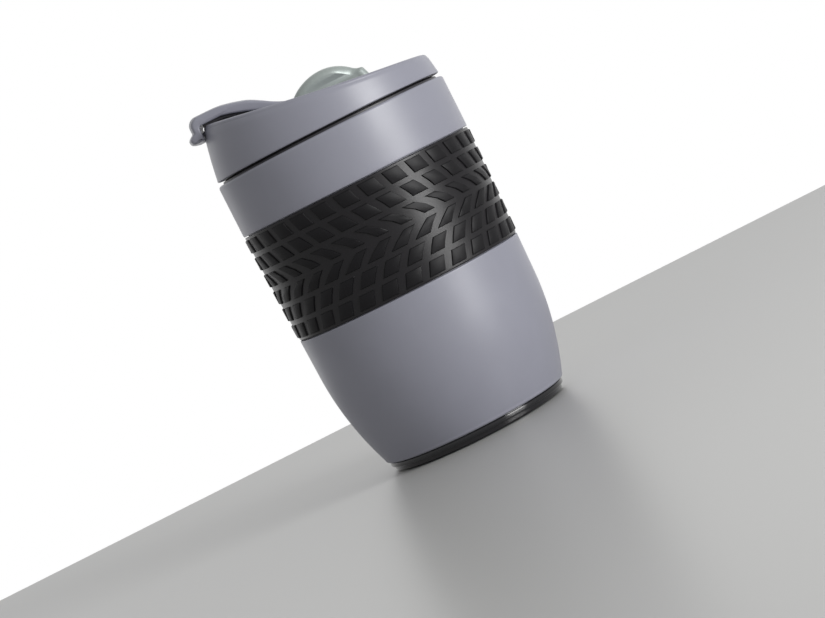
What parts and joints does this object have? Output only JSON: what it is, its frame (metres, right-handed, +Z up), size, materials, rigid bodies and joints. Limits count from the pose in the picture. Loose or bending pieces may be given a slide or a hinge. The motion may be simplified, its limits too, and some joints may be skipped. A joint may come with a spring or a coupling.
{
  "type": "travel mug",
  "caption": "Double-walled travel mug with a tread-pattern grip sleeve, a screw lid with a sloped top, a flip arm that plugs the spout, and a thumb button.",
  "frame": {"origin": "centre of the underside, on the cup's axis, where the foot pad meets the table", "axes": "+Z up along the cup's axis; -X towards the flip arm's hook and the spout; Y along the arm's hinge pin"},
  "size_m": [0.0847, 0.0836, 0.1339],
  "materials": {
    "body_grey": "fine-grained matte cool grey polypropylene",
    "lid_grey": "fine-grained matte cool grey polypropylene, as the cup",
    "liner_black": "smooth charcoal polypropylene",
    "sleeve_silicone": "near-black silicone, matte tread tops and slightly sheenier grooves",
    "base_gloss": "glossy black moulding",
    "carrier_black": "black moulding",
    "foot_rubber": "dull black anti-slip rubber",
    "seal_silicone": "dark grey food silicone",
    "pin_steel": "bright drawn steel",
    "satin_silver": "satin silver lacquer with a faint green cast"
  },
  "bodies": {
    "cup": {"outer_shell": "body_grey", "inner_liner": "liner_black", "grip_sleeve": "sleeve_silicone", "base_cap": "base_gloss", "foot_pad": "foot_rubber"},
    "lid_seal": {"plug_seal": "seal_silicone"},
    "lid": {"lid_cover": "lid_grey", "lid_plug": "liner_black", "hinge_pin": "pin_steel", "button_spring": "pin_steel"},
    "arm": {"flip_arm": "lid_grey", "arm_underplate": "liner_black", "spout_stopper": "seal_silicone", "vent_stopper": "seal_silicone"},
    "button": {"button_cap": "satin_silver", "button_carrier": "carrier_black"}
  },
  "joints": [
    {"name": "lid_rise", "type": "slide", "parent": "cup", "child": "lid_seal", "axis": [0, 0, 1], "range_m": [0, 0.0161]},
    {"name": "lid_turn", "type": "hinge", "parent": "lid_seal", "child": "lid", "pos_m": [0, 0, 0.1], "axis": [0, 0, 1], "range_deg": [0, 720]},
    {"name": "arm_hinge", "type": "hinge", "parent": "lid", "child": "arm", "pos_m": [0.007, 0, 0.11902], "axis": [0, 1, 0], "range_deg": [0, 130]},
    {"name": "button_press", "type": "hinge", "parent": "lid", "child": "button", "pos_m": [0.007, 0, 0.11902], "axis": [0, 1, 0], "range_deg": [0, 6], "stiffness_Nm_per_rad": 0.15, "springref_deg": -17.19}
  ],
  "couplings": [
    {"joint": "lid_rise", "follows": "lid_turn", "m_per_rad": 0.0012732}
  ]
}
